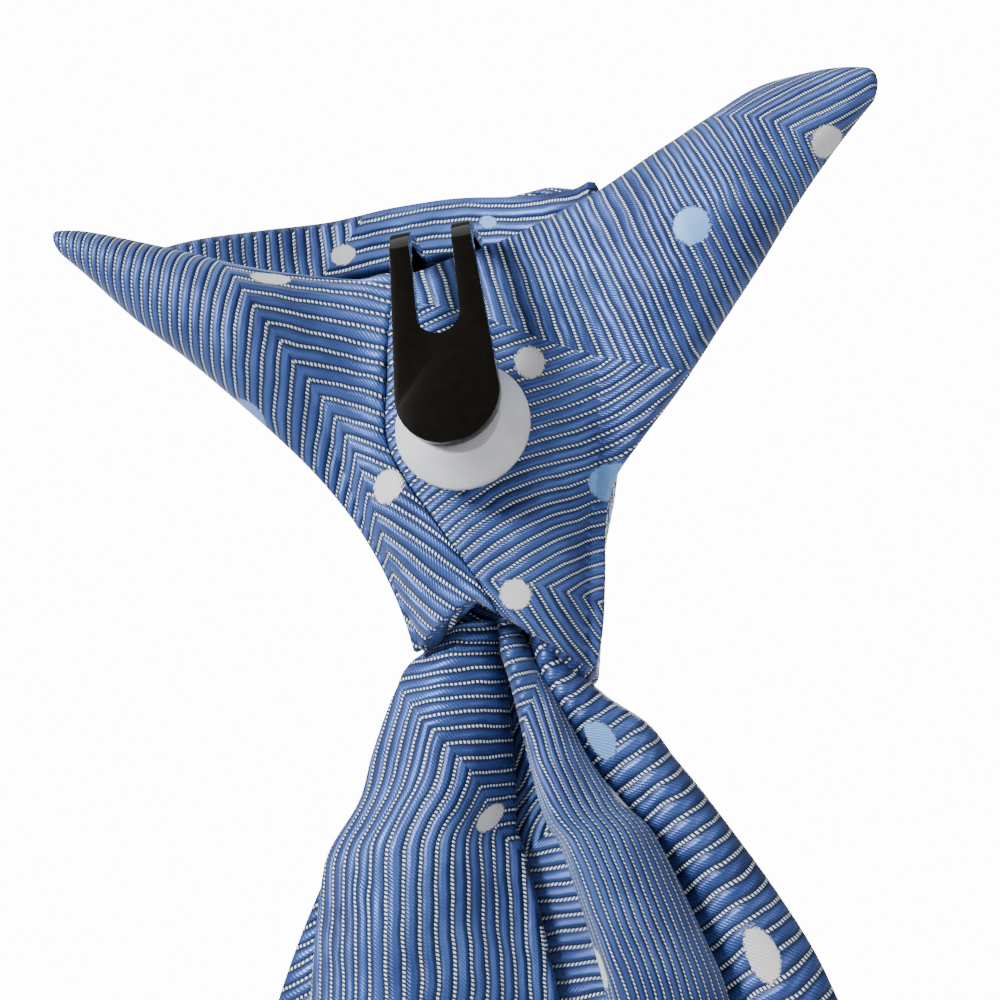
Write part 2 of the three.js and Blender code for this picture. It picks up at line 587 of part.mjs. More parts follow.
function makeBlades() {
  const shell = knotShell(clearance).subtract(belowKnot());
  const rear = largest(bladeSolid(rearBlade).subtract(shell));
  return { rear, front: largest(bladeSolid(frontBlade).subtract(shell).subtract(roomFor(rear))) };
}

const wovenSilk = new THREE.MeshStandardMaterial({ color: 0x46629c, roughness: 0.55, metalness: 0 });
const blackLacquer = new THREE.MeshStandardMaterial({ color: 0x141416, roughness: 0.18, metalness: 0.3 });
const milkyPlastic = new THREE.MeshStandardMaterial({ color: 0xe6e8ee, roughness: 0.35, metalness: 0 });

const knot = makeKnot();
const wings = makeWings();
add("knot", knot, wovenSilk);
add("left_wing", wings.left, wovenSilk);
add("right_wing", wings.right, wovenSilk);
add("neck_band", makeBand([knot, wings.left, wings.right]), wovenSilk);
add("clip", makeClip(), blackLacquer);
add("grip_button", makeButton([wings.right, wings.left]), milkyPlastic);
const blades = makeBlades();
add("front_blade", blades.front, wovenSilk);
add("rear_blade", blades.rear, wovenSilk);

export default group;
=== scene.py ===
import math

import bmesh
import bpy
import numpy as np
from mathutils import Matrix, Vector


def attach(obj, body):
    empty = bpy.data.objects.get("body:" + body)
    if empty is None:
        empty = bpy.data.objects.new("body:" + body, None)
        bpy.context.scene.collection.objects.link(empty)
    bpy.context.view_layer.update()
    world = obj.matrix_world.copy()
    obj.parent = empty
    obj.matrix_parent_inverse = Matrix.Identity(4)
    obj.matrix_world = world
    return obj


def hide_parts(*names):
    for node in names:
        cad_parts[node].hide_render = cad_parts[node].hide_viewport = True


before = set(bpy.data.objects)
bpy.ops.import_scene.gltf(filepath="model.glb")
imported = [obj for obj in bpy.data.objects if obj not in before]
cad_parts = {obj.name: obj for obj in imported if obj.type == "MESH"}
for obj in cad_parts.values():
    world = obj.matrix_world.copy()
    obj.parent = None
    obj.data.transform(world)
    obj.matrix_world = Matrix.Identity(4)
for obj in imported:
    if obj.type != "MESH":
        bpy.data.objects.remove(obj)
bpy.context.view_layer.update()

MM = 0.001

# Sizes that the solids have too
KNOT_RISE, KNOT_HEIGHT, KNOT_WIDE, KNOT_DEEP, KNOT_WALL = 12.4, 68.0, 25.0, 11.0, 2.2
KNOT_ROUND, KNOT_BACK_DROP, BOTTOM_SLOPE = 2.5, 15.5, 0.31
ARCH_PEAK, ARCH_OFF, ARCH_LEFT, ARCH_RIGHT, ARCH_LEVEL = 10.8, -2.0, 0.54, 0.8, -52.0
KNOT_BOTTOM = KNOT_RISE - KNOT_HEIGHT
LEFT_REACH, RIGHT_REACH, WING_RISE, WING_THICK = 47.5, 56.7, 10.2, 14.0
WRAP_THICK, WRAP_SEAT, TIP_BACK, COLLAR_GAP = 2.4, 0.45, 8.0, 4.6
KNOT_BACK_FACE = COLLAR_GAP / 2 + WRAP_THICK + WRAP_SEAT
BAND_HEIGHT, BAND_THICK, BAND_LEFT, BAND_RIGHT = 7.0, 2.0, 37.0, 20.0
CLOTH, HEM_GAP, BLADE_GAP, BLADE_TUCK, BLADE_PUFF = 1.2, 0.6, 0.5, 9.0, 7.0
FLARE_LENGTH, POINT_SLOPE, FOLDED_LENGTH = 110.0, 1.05, 60.0
FRONT_LENGTH, FRONT_HALF, REAR_LENGTH, REAR_HALF = 412.0, 44.0, 350.0, 24.0

# The weave: pitches in millimetres, heights of the relief in metres
RIB_PITCH, STITCH_PITCH, TWILL_PITCH, WANDER = 2.0, 0.5, 0.42, 1.1
RIB_HEIGHT, STITCH_HEIGHT, THREAD_HEIGHT, SWELL_HEIGHT = 0.00032, 0.00024, 0.00003, 0.0018
DOT_HEIGHT, DOT_THREAD_HEIGHT = 0.0004, 0.00004
LATTICE_START, LATTICE_SPACING, LATTICE_RADIUS = 9.0, 21.0, 2.3
SATIN_DEEP, SATIN_BRIGHT = (0.020, 0.050, 0.210, 1), (0.056, 0.120, 0.390, 1)
# The second colour on the next line is painted shade: the dark put into the grooves between the ribs,
# where shade falls
THREAD_SHADE, GROOVE_PAINTED_SHADE = (0.010, 0.024, 0.095, 1), (0.005, 0.010, 0.036, 1)
STITCH_PALE = (0.66, 0.80, 1.0, 1)
DOT_TONES = {"white": (0.48, 0.48, 0.50, 1), "blue": (0.12, 0.27, 0.58, 1)}
LATTICE_WHITE, LATTICE_BLUE = (0.47, 0.47, 0.49, 1), (0.11, 0.26, 0.58, 1)
MITRE_STEP, KNOT_WEAVE_SHIFT = 36.0, [8, 6]


def smooth(low, high, value):
    share = np.clip((value - low) / (high - low), 0, 1)
    return share * share * (3 - 2 * share)


def follow(keys, values, at):
    """Values on a smooth curve through rows, at any places along it."""
    keys, values, at = np.asarray(keys, float), np.asarray(values, float), np.asarray(at, float)
    last = len(keys) - 1
    i = np.clip(np.searchsorted(keys, at, side="left") - 1, 0, last - 1)
    before, after = np.maximum(i - 1, 0), np.minimum(i + 2, last)
    step = keys[i + 1] - keys[i]
    t = np.clip((at - keys[i]) / step, 0, 1)
    slope_a = (values[i + 1] - values[before]) / (keys[i + 1] - keys[before]) * step
    slope_b = (values[after] - values[i]) / (keys[after] - keys[i]) * step
    return (
        values[i] * (2 * t**3 - 3 * t**2 + 1)
        + values[i + 1] * (3 * t**2 - 2 * t**3)
        + slope_a * (t**3 - 2 * t**2 + t)
        + slope_b * (t**3 - t**2)
    )


class Table:
    """Rows of numbers with named columns, read on smooth curves."""

    def __init__(self, columns, rows, key=None):
        self.data = dict(zip(columns.split(), np.array(rows, float).T))
        self.key = np.linspace(0, 1, len(rows)) if key is None else self.data[key]

    def __call__(self, column, at):
        return follow(self.key, self.data[column], at)


KNOT_SECTIONS = Table(
    "down wide lean deep back",
    [
        (0.0, 0.95, -0.08, 0.8, 0.0),
        (0.08, 1.0, -0.08, 0.86, 0.0),
        (0.25, 0.9, -0.04, 0.96, 0.0),
        (0.5, 0.75, 0.0, 1.0, 0.04),
        (0.65, 0.65, 0.0, 0.98, 0.04),
        (0.76, 0.55, 0.0, 0.94, 0.0),
        (0.88, 0.47, 0.02, 0.9, -0.04),
        (1.0, 0.42, 0.0, 0.86, -0.08),
    ],
    "down",
)
WING_COLUMNS = "up_out up_rise low_out low_rise thick wrap"
RIGHT_WING = Table(
    WING_COLUMNS,
    [
        (1.0, 0.8, 0.995, 0.49, 0.25, 0),
        (0.92, 0.97, 0.935, 0.24, 0.45, 0),
        (0.835, 1.05, 0.87, -0.06, 0.62, 0),
        (0.74, 1.06, 0.79, -0.48, 0.8, 0),
        (0.63, 0.88, 0.695, -1.06, 0.95, 0),
        (0.51, 0.66, 0.59, -1.66, 1.0, 0),
        (0.4, 0.47, 0.485, -2.25, 1.0, 0.15),
        (0.255, 0.22, 0.38, -2.75, 0.85, 0.45),
        (0.12, -0.02, 0.303, -3.16, 0.65, 0.8),
        (-0.018, -0.17, 0.268, -3.66, 0.5, 1),
        (-0.127, -0.4, 0.247, -4.35, 0.4, 1),
        (-0.155, -1.43, 0.22, -5.04, 0.4, 1),
        (-0.173, -2.36, 0.165, -5.8, 0.4, 1),
        (-0.088, -3.4, 0.125, -5.6, 0.4, 1),
        (-0.034, -3.92, 0.065, -5.2, 0.4, 1),
    ],
)
LEFT_WING = Table(
    WING_COLUMNS,
    [
        (-0.985, 0.8, -0.98, 0.55, 0.25, 0),
        (-0.905, 0.78, -0.915, 0.21, 0.5, 0),
        (-0.8, 0.65, -0.815, -0.36, 0.74, 0),
        (-0.653, 0.43, -0.695, -0.94, 0.92, 0),
        (-0.505, 0.18, -0.586, -1.52, 1.0, 0),
        (-0.358, 0.01, -0.49, -2.06, 0.9, 0.25),
        (-0.232, -0.14, -0.415, -2.54, 0.7, 0.6),
        (-0.126, -0.22, -0.345, -3.1, 0.5, 0.9),
        (-0.063, -1.04, -0.287, -3.74, 0.4, 1),
        (-0.042, -2.22, -0.245, -4.42, 0.4, 1),
        (0.042, -3.4, -0.222, -5.04, 0.4, 1),
        (0.168, -4.35, -0.168, -5.9, 0.4, 1),
    ],
)
BAND_PATH = Table(
    "out fore top",
    [
        (-1.0, -0.62, 0.36),
        (-0.84, -0.2, 0.54),
        (-0.66, 0.42, 0.72),
        (-0.44, 0.98, 0.86),
        (-0.2, 1.2, 0.96),
        (0.1, 1.24, 0.93),
        (0.5, 1.12, 0.78),
        (0.84, 0.8, 0.64),
        (1.0, 0.45, 0.58),
    ],
)
FOLD_COLUMNS = "neck_out neck_fore loose_out loose_fore flat_out flat_fore"
FRONT_FOLDS = Table(
    FOLD_COLUMNS,
    [
        (-0.25, 0.15, -0.1, 0.22, 0.03, -1),
        (-0.6, 0.12, -0.5, 0.17, -0.35, -1),
        (-0.9, 0.18, -0.88, 0.14, -0.85, -1),
        (-0.98, 0.38, -1.0, 0.42, -1.0, 0),
        (-0.8, 0.66, -0.85, 0.75, -0.85, 1),
        (-0.45, 0.78, -0.4, 0.9, -0.4, 1),
        (0.0, 0.6, 0.0, 0.74, 0.0, 1),
        (0.45, 0.78, 0.4, 0.9, 0.4, 1),
        (0.85, 0.55, 0.85, 0.65, 0.85, 1),
        (0.98, 0.0, 1.0, 0.1, 1.0, 0),
        (0.92, -0.5, 0.87, -0.48, 0.85, -1),
        (0.68, -0.75, 0.64, -0.05, 0.4, -1),
        (0.45, -0.4, 0.4, 0.25, 0.1, -1),
    ],
)
REAR_FOLDS = Table(
    FOLD_COLUMNS,
    [
        (0.51, -0.38, 0.2, -0.45, 0.05, -1),
        (0.43, -0.6, 0.06, -0.7, -0.3, -1),
        (0.17, -0.82, -0.22, -1.45, -0.6, -1),
        (-0.3, -0.88, -0.6, -1.7, -0.88, -1),
        (-1.0, -0.5, -1.0, -0.9, -1.0, 0),
        (-0.85, -0.2, -0.82, -0.25, -0.88, 1),
        (-0.3, -0.1, -0.3, -0.1, -0.3, 1),
        (0.3, -0.1, 0.4, -0.15, 0.3, 1),
        (0.8, -0.15, 0.9, -0.3, 0.88, 1),
        (1.0, -0.42, 1.0, -0.65, 1.0, 0),
        (0.95, -0.76, 0.86, -1.15, 0.88, -1),
        (0.78, -0.88, 0.6, -1.35, 0.5, -1),
        (0.68, -0.64, 0.5, -1.0, 0.15, -1),
    ],
)
FLARE_COLUMNS = "down wide lean loose flat"
FRONT_FLARE = Table(
    FLARE_COLUMNS,
    [
        (-0.1, 0.17, 0, 0, 0),
        (-0.02, 0.18, 0, 0, 0),
        (0.02, 0.26, -0.01, 0.05, 0),
        (0.06, 0.39, -0.03, 0.2, 0),
        (0.1, 0.455, -0.04, 0.45, 0),
        (0.145, 0.53, -0.05, 0.7, 0),
        (0.27, 0.7, -0.06, 1, 0),
        (0.36, 0.79, -0.06, 0.95, 0.05),
        (0.6, 0.9, -0.03, 0.4, 0.6),
        (1.0, 0.94, 0, 0, 1),
        (4.0, 1.0, 0, 0, 1),
    ],
    "down",
)
REAR_FLARE = Table(
    FLARE_COLUMNS,
    [
        (-0.1, 0.19, -0.12, 0, 0),
        (-0.068, 0.2, -0.13, 0, 0),
        (-0.045, 0.3, -0.2, 0.05, 0),
        (-0.02, 0.36, -0.217, 0.1, 0),
        (0.0, 0.405, -0.225, 0.2, 0),
        (0.05, 0.5, -0.238, 0.45, 0),
        (0.1, 0.59, -0.24, 0.7, 0),
        (0.15, 0.75, -0.26, 0.95, 0),
        (0.18, 0.83, -0.235, 1, 0),
        (0.3, 0.98, -0.21, 1, 0),
        (0.36, 1.04, -0.2, 0.95, 0.05),
        (0.6, 1.05, -0.1, 0.4, 0.6),
        (1.0, 0.98, 0, 0, 1),
        (3.4, 1.0, 0, 0, 1),
    ],
    "down",
)


class Signal:
    """A socket of a material, with arithmetic that adds Math nodes."""

    def __init__(self, finish, socket):
        self.finish = finish
        self.socket = socket

    def math(self, operation, *others):
        return self.finish.maths(operation, self, *others)

    def __add__(self, other):
        return self.math("ADD", other)

    def __radd__(self, other):
        return self.math("ADD", other)

    def __sub__(self, other):
        return self.math("SUBTRACT", other)

    def __rsub__(self, other):
        return self.finish.maths("SUBTRACT", other, self)

    def __mul__(self, other):
        return self.math("MULTIPLY", other)

    def __rmul__(self, other):
        return self.math("MULTIPLY", other)

    def __truediv__(self, other):
        return self.math("DIVIDE", other)

    def __gt__(self, other):
        return self.math("GREATER_THAN", other)

    def beside(self, output):
        """Another output of the same node."""
        return Signal(self.finish, self.socket.node.outputs[output])

    def ramp(self, low, high):
        """0 below low and 1 above high, or the other way round, with a soft step between."""
        inputs = {"Value": self, "From Min": low, "From Max": high, "To Min": 0.0, "To Max": 1.0}
        settings = {"interpolation_type": "SMOOTHSTEP"}
        return self.finish.node("ShaderNodeMapRange", settings, inputs)


class Finish:
    """A material: its nodes are made by node(), and its shader takes what the recipe gives."""

    def __init__(self, name):
        self.material = bpy.data.materials.new(name)
        self.material.use_nodes = True
        self.tree = self.material.node_tree
        self.shader = self.tree.nodes["Principled BSDF"]

    def node(self, kind, settings, inputs, output=0):
        made = self.tree.nodes.new(kind)
        for name, value in settings.items():
            setattr(made, name, value)
        for name, value in inputs.items():
            self.feed(made.inputs[name], value)
        return Signal(self, made.outputs[output])

    def feed(self, socket, value):
        if isinstance(value, Signal):
            self.tree.links.new(value.socket, socket)
        else:
            socket.default_value = value

    def maths(self, operation, *values):
        return self.node("ShaderNodeMath", {"operation": operation}, dict(enumerate(values)))

    def mix(self, share, a, b):
        """Colour a where share is 0, and b where it is 1."""
        inputs = {0: share, 6: a, 7: b}
        return self.node("ShaderNodeMix", {"data_type": "RGBA"}, inputs, 2)

    def noise(self, scale, detail, vector=None):
        inputs = {"Scale": scale, "Detail": detail}
        if vector is not None:
            inputs["Vector"] = vector
        return self.node("ShaderNodeTexNoise", {}, inputs)

    def finish(self, **inputs):
        for name, value in inputs.items():
            self.feed(self.shader.inputs[name.replace("_", " ")], value)
        return self.material


def ribbed_silk(name, dots=(), lattice_from=None):
    """Satin ribs between rows of stitches, which turn square at each mitre, and woven dots."""
    cloth = Finish(name)
    uv = cloth.node("ShaderNodeUVMap", {"uv_map": "weave"}, {})
    u = cloth.node("ShaderNodeSeparateXYZ", {}, {0: uv})
    v = u.beside(1)
    place = cloth.node("ShaderNodeTexCoord", {}, {}, 3)
    side = cloth.node("ShaderNodeAttribute", {"attribute_name": "mitre"}, {}, 2)
    lengthwise = side > 0.0
    wander = (cloth.noise(150.0, 2.0, place) - 0.5) * WANDER
    run = lengthwise * u + (1 - lengthwise) * v
    rise = lengthwise * v + (1 - lengthwise) * u + wander
    off_row = (rise / RIB_PITCH).math("FRACT") - 0.5
    distance = off_row.math("ABSOLUTE") * RIB_PITCH
    # painted shade: this mask darkens the grooves between the ribs, where shade falls
    painted_groove_shade = distance.ramp(0.66, 0.26)
    rib = distance.ramp(0.12, 0.85)

    slant = (run + off_row * RIB_PITCH * 0.5) / STITCH_PITCH
    dash = (slant.math("FRACT") - 0.5).math("ABSOLUTE").ramp(0.38, 0.20)
    stitch = distance.ramp(0.25, 0.11) * dash

    twill = (((run * 0.9 + rise) / TWILL_PITCH).math("FRACT") - 0.5).math("ABSOLUTE")
    thread = twill.ramp(0.08, 0.42)
    patches = cloth.noise(90.0, 3.0, place)
    blue = cloth.mix(patches.ramp(0.35, 0.65), SATIN_DEEP, SATIN_BRIGHT)
    blue = cloth.mix(thread * 0.45, blue, THREAD_SHADE)
    colour = cloth.mix(painted_groove_shade * 0.9, blue, GROOVE_PAINTED_SHADE)
    colour = cloth.mix(stitch, colour, STITCH_PALE)
    satin = 1 - stitch

    swell = cloth.noise(110.0, 1.0, place)
    height = rib * RIB_HEIGHT + stitch * STITCH_HEIGHT
    height = height + thread * THREAD_HEIGHT + swell * SWELL_HEIGHT
    if lattice_from is not None:
        cell_u = (u - LATTICE_START) / LATTICE_SPACING
        odd = (cell_u / 2).math("FRACT") > 0.5
        cell_v = v / LATTICE_SPACING + odd * 0.5
        du = (cell_u.math("FRACT") - 0.5) * LATTICE_SPACING / LATTICE_RADIUS
        dv = (cell_v.math("FRACT") - 0.5) * LATTICE_SPACING / LATTICE_RADIUS
        inside = (du * du + dv * dv).ramp(1.1, 0.9) * (u > lattice_from)
        colour = cloth.mix(inside, colour, cloth.mix(odd, LATTICE_WHITE, LATTICE_BLUE))
        height = height * (1 - inside) + inside * DOT_HEIGHT
        satin = satin * (1 - inside)
    for at_u, at_v, half_u, half_v, tone in dots:
        # steps of one thread make the edge ragged, as in a woven figure
        du = ((u / 0.3).math("ROUND") * 0.3 - at_u) / half_u
        dv = ((v / 0.2).math("ROUND") * 0.2 - at_v) / half_v
        ragged = du * du + dv * dv + (cloth.noise(2600.0, 1.0, place) - 0.5) * 0.5
        inside = ragged.ramp(1.1, 0.9)
        colour = cloth.mix(inside, colour, DOT_TONES[tone])
        height = height * (1 - inside) + inside * DOT_HEIGHT + inside * thread * DOT_THREAD_HEIGHT
        satin = satin * (1 - inside)
    bump = cloth.node("ShaderNodeBump", {}, {"Strength": 1.0, "Distance": 1.0, "Height": height})
    return cloth.finish(
        Base_Color=colour,
        Metallic=satin * 0.5,
        Roughness=0.42,
        Normal=bump,
        Sheen_Weight=0.12,
        Sheen_Roughness=0.4,
        Specular_IOR_Level=0.5,
    )


def placed(name, mesh):
    """A new object of a mesh, at the origin."""
    piece = bpy.data.objects.new(name, mesh)
    bpy.context.collection.objects.link(piece)
    return piece


def cloth_grid(name, columns, rows, form):
    """A bmesh grid moved to where form(across, along) says: points, weave places and mitre side."""
    mesh_maker = bmesh.new()
    bmesh.ops.create_grid(mesh_maker, x_segments=columns, y_segments=rows, size=1)
    mesh = bpy.data.meshes.new(name)
    mesh_maker.to_mesh(mesh)
    mesh_maker.free()
    flat = np.empty(len(mesh.vertices) * 3)
    mesh.vertices.foreach_get("co", flat)
    flat = flat.reshape(-1, 3)
    # the grid's own row and column of every vertex
    across = np.rint((flat[:, 0] + 1) / 2 * columns).astype(int)
    along = np.rint((flat[:, 1] + 1) / 2 * rows).astype(int)
    places, weave, mitre = form(columns, rows)
    mesh.vertices.foreach_set("co", (places[along, across] * MM).ravel())
    corners = np.empty(len(mesh.loops), int)
    mesh.loops.foreach_get("vertex_index", corners)
    layer = mesh.uv_layers.new(name="weave")
    layer.data.foreach_set("uv", weave[along, across][corners].ravel())
    attribute = mesh.attributes.new("mitre", "FLOAT", "POINT")
    attribute.data.foreach_set("value", mitre[along, across].astype(float))

    mesh_maker = bmesh.new()
    mesh_maker.from_mesh(mesh)
    bmesh.ops.remove_doubles(mesh_maker, verts=mesh_maker.verts, dist=2e-6)
    bmesh.ops.recalc_face_normals(mesh_maker, faces=mesh_maker.faces)
    for face in mesh_maker.faces:
        face.smooth = True
    mesh_maker.to_mesh(mesh)
    mesh_maker.free()
    return placed(name, mesh)


def arc(points, axis):
    """Running length along an axis of a grid of points."""
    steps = np.linalg.norm(np.diff(points, axis=axis), axis=-1)
    start = np.zeros_like(np.take(steps, [0], axis=axis))
    return np.concatenate([start, np.cumsum(steps, axis=axis)], axis=axis)


def mitre_side(place, switches):
    """Signed distance to the nearest line where the ribs turn, positive past every other one."""
    value = np.full(place.shape, -1e3)
    for line in switches:
        value = np.where(place > line, -value, value)
    near = np.min([np.abs(place - line) for line in switches], axis=0)
    return np.sign(value) * near


def knot_size(z):
    """Half width, half depth and middle of the knot's section at a height."""
    down = (KNOT_RISE - z) / KNOT_HEIGHT
    deep = KNOT_SECTIONS("deep", down) * KNOT_DEEP
    return {
        "wide": KNOT_SECTIONS("wide", down) * KNOT_WIDE,
        "centre": KNOT_SECTIONS("lean", down) * KNOT_WIDE,
        "deep": deep,
        "middle": KNOT_BACK_FACE - KNOT_SECTIONS("back", down) * KNOT_DEEP + deep,
    }


def squared(value):
    return np.sign(value) * np.abs(value) ** (2 / KNOT_ROUND)


def knot_surface(turn, z, grow):
    """Places on the knot's outside, once round it, moved outwards by grow."""
    size = knot_size(z)
    angle = turn * 2 * math.pi
    x = size["centre"] + (size["wide"] + grow) * squared(np.cos(angle))
    y = size["middle"] + (size["deep"] + grow) * squared(np.sin(angle))
    return x, y


def knot_back(x, z, cap=0.92):
    """How far back the knot's outside lies, kept level past the cap's share of its half width."""
    size = knot_size(np.minimum(z, KNOT_RISE - KNOT_BACK_DROP))
    share = np.minimum(np.abs(x - size["centre"]) / size["wide"], cap)
    return size["middle"] - size["deep"] * (1 - share**KNOT_ROUND) ** (1 / KNOT_ROUND)


def arch_edge(x):
    """Height of the arch over the blades, in the back of the knot."""
    peak = KNOT_BOTTOM + ARCH_PEAK
    slope = np.where(x < ARCH_OFF, ARCH_LEFT, ARCH_RIGHT)
    return peak - np.abs(x - ARCH_OFF) * slope


def knot_form(columns, rows):
    """A double wall with rounded rims: down the outside, round the bottom, and up the inside."""
    turn = np.linspace(0, 1, columns + 1)
    y0 = knot_surface(turn, 0.0, 0.0)[1]
    slope = KNOT_BACK_DROP / (1.5 * KNOT_DEEP)
    back_top = KNOT_RISE - KNOT_BACK_DROP
    top = back_top + slope * (y0 - (KNOT_BACK_FACE + KNOT_WALL))
    top = np.clip(top, back_top, KNOT_RISE)
    x1, y1 = knot_surface(turn, ARCH_LEVEL, 0.0)
    size = knot_size(KNOT_BOTTOM)
    slant = KNOT_BOTTOM - BOTTOM_SLOPE * (x1 - size["wide"])
    over = np.maximum(slant, arch_edge(x1))
    behind = smooth(size["middle"] + 1.5, size["middle"] - 1.5, y1)
    bottom = slant + (over - slant) * behind
    radius = KNOT_WALL / 2
    rim = 8
    walls = (rows - 2 * rim) // 2
    inner = rows - 2 * rim - walls
    bend = math.pi * np.arange(rim + 1) / rim
    round_bottom, round_top = bend[:-1], bend
    share = np.concatenate(
        [np.arange(walls) / walls, np.ones(rim), 1 - np.arange(inner) / inner, np.zeros(rim + 1)]
    )[:, None]
    grow = np.concatenate(
        [
            np.zeros(walls),
            radius * np.cos(round_bottom) - radius,
            np.full(inner, -KNOT_WALL),
            -radius - radius * np.cos(round_top),
        ]
    )[:, None]
    lift = np.concatenate(
        [
            np.zeros(walls),
            -radius * np.sin(round_bottom),
            np.zeros(inner),
            radius * np.sin(round_top),
        ]
    )[:, None]
    z = (top - radius) * (1 - share) + (bottom + radius) * share + lift
    spread = np.broadcast_to(turn, z.shape)
    x, y = knot_surface(spread, z, grow + np.zeros_like(z))
    places = np.stack([x, y, z], axis=-1)
    around = arc(places, 1)
    u = around - around[:, columns * 3 // 4][:, None]
    weave = np.stack([u * 0.8 + z * 0.6, z * 0.8 - u * 0.6], axis=-1)
    mitre = mitre_side(weave[..., 0] + weave[..., 1] + 300, np.arange(0, 700, MITRE_STEP))
    return places, weave + KNOT_WEAVE_SHIFT, mitre


def wing_weave(places, direction, heading, along, close_v):
    """The cloth's own lengths on a wing, in a frame that turns with the headings along it."""
    core = places.mean(1)[:, [0, 2]]
    angles = np.radians(heading("angle", along))
    e_u = np.stack([np.cos(angles), np.sin(angles)], -1)
    e_v = np.stack([-np.sin(angles), np.cos(angles)], -1)
    step = np.diff(core, axis=0)
    mid_u, mid_v = (e_u[1:] + e_u[:-1]) / 2, (e_v[1:] + e_v[:-1]) / 2
    close_u = heading("stretch", along)
    mid_close = (close_u[1:] + close_u[:-1]) / 2
    run_u = np.concatenate([[0], np.cumsum((step * mid_u).sum(-1) * mid_close)])
    run_v = np.concatenate([[0], np.cumsum((step * mid_v).sum(-1))])
    # lengths across are counted from the middle of the back
    length = arc(places, 1)
    back_middle = (places.shape[1] - 1) * 3 // 4
    across = -(length - length[:, back_middle][:, None])
    u = run_u[:, None] + across * ((direction * e_u).sum(-1) * close_u)[:, None]
    v = (run_v[:, None] + across * (direction * e_v).sum(-1)[:, None]) * close_v
    return np.stack([u, v], -1)


def wing_form(table, reach, heading, close_v, switches, trim=None, end=1.0):
    """A padded wing that goes over into a flat layer across the knot's back."""

    def form(columns, rows):
        along = np.linspace(0, end, rows + 1)
        up = np.stack([table("up_out", along) * reach, table("up_rise", along) * WING_RISE], -1)
        low = np.stack([table("low_out", along) * reach, table("low_rise", along) * WING_RISE], -1)
        dense = np.linspace(0, 1, 241)
        line = up[:, None] * (1 - dense[:, None]) + low[:, None] * dense[:, None]
        above = line[..., 1] >= arch_edge(line[..., 0])
        last = np.array([row.nonzero()[0].max() if row.any() else 0 for row in above]) / 240
        first = np.zeros(rows + 1)
        if trim is not None:
            kept = line[..., 0] <= trim(line[..., 1])
            first = np.array([row.nonzero()[0].min() if row.any() else 240 for row in kept]) / 240
        first = np.minimum(first, last)
        window = np.ones(5) / 5
        last[2:-2] = np.convolve(last, window, "valid")
        first[2:-2] = np.convolve(first, window, "valid")

        turn = np.linspace(0, 1, columns + 1)
        angle = turn * 2 * math.pi
        t = first[:, None] + (last - first)[:, None] * (0.5 - 0.5 * np.cos(angle))[None]
        place = up[:, None] * (1 - t[..., None]) + low[:, None] * t[..., None]
        bulge = np.sin(angle)[None]
        half = (table("thick", along) * WING_THICK / 2)[:, None]
        x, z = place[..., 0], place[..., 1]
        centre = KNOT_BACK_FACE - (TIP_BACK + KNOT_BACK_FACE) * (x / reach) ** 2
        flat = np.sign(bulge) * np.abs(bulge) ** 0.4
        layer = knot_back(x, z) - WRAP_SEAT - (WRAP_THICK / 2) * (1 - flat)
        wrap = np.clip(table("wrap", along), 0, 1)[:, None]
        y = (centre + half * bulge) * (1 - wrap) + layer * wrap
        inside = np.abs(x - knot_size(z)["centre"]) < knot_size(z)["wide"]
        limit = np.where(inside, knot_back(x, z, 0.9999) - WRAP_SEAT, 1e3)
        y = np.minimum(y, limit)

        # rounded tip and end
        middle = np.stack([x.mean(1), y.mean(1), z.mean(1)], -1)[:, None]
        places = np.stack([x, y, z], -1)
        blunt = np.sqrt(np.clip(1 - (1 - np.clip(along / 0.02, 0, 1)) ** 2, 0, 1))[:, None, None]
        places = middle + (places - middle) * blunt
        close = np.sqrt(np.clip(1 - (1 - np.clip((end - along) / 0.01, 0, 1)) ** 2, 0, 1))[:, None]
        spine = (places[..., 1] + places[:, ::-1, 1]) / 2
        places[..., 1] = spine + (places[..., 1] - spine) * close

        direction = low - up
        direction /= np.linalg.norm(direction, axis=1)[:, None]
        weave = wing_weave(places, direction, heading, along, close_v)
        return places, weave, mitre_side(weave.sum(-1), switches)

    return form


def seam_edge(z):
    """Where the right wing's edge crosses the knot's back, at a height."""
    along = np.linspace(0.55, 1, 60)
    x = RIGHT_WING("up_out", along) * RIGHT_REACH
    edge_z = RIGHT_WING("up_rise", along) * WING_RISE
    low = [RIGHT_WING("low_out", 1.0) * RIGHT_REACH, RIGHT_WING("low_rise", 1.0) * WING_RISE]
    x, edge_z = np.append(x, low[0]), np.append(edge_z, low[1])
    return np.interp(-z, -edge_z, x)


def ring(columns):
    """Places across a sheet and its side, once round its edge."""
    rim = 3
    face = (columns - 2 * rim) // 2
    other = columns - 2 * rim - face
    bend = math.pi * np.arange(rim + 1) / rim
    first, last = bend[:-1], bend
    across = [np.arange(face) / face, np.ones(rim), 1 - np.arange(other) / other, np.zeros(rim + 1)]
    side = [np.ones(face), np.cos(first), -np.ones(other), -np.cos(last)]
    out = [np.zeros(face), np.sin(first), np.zeros(other), -np.sin(last)]
    return np.concatenate(across), np.concatenate(side), np.concatenate(out)


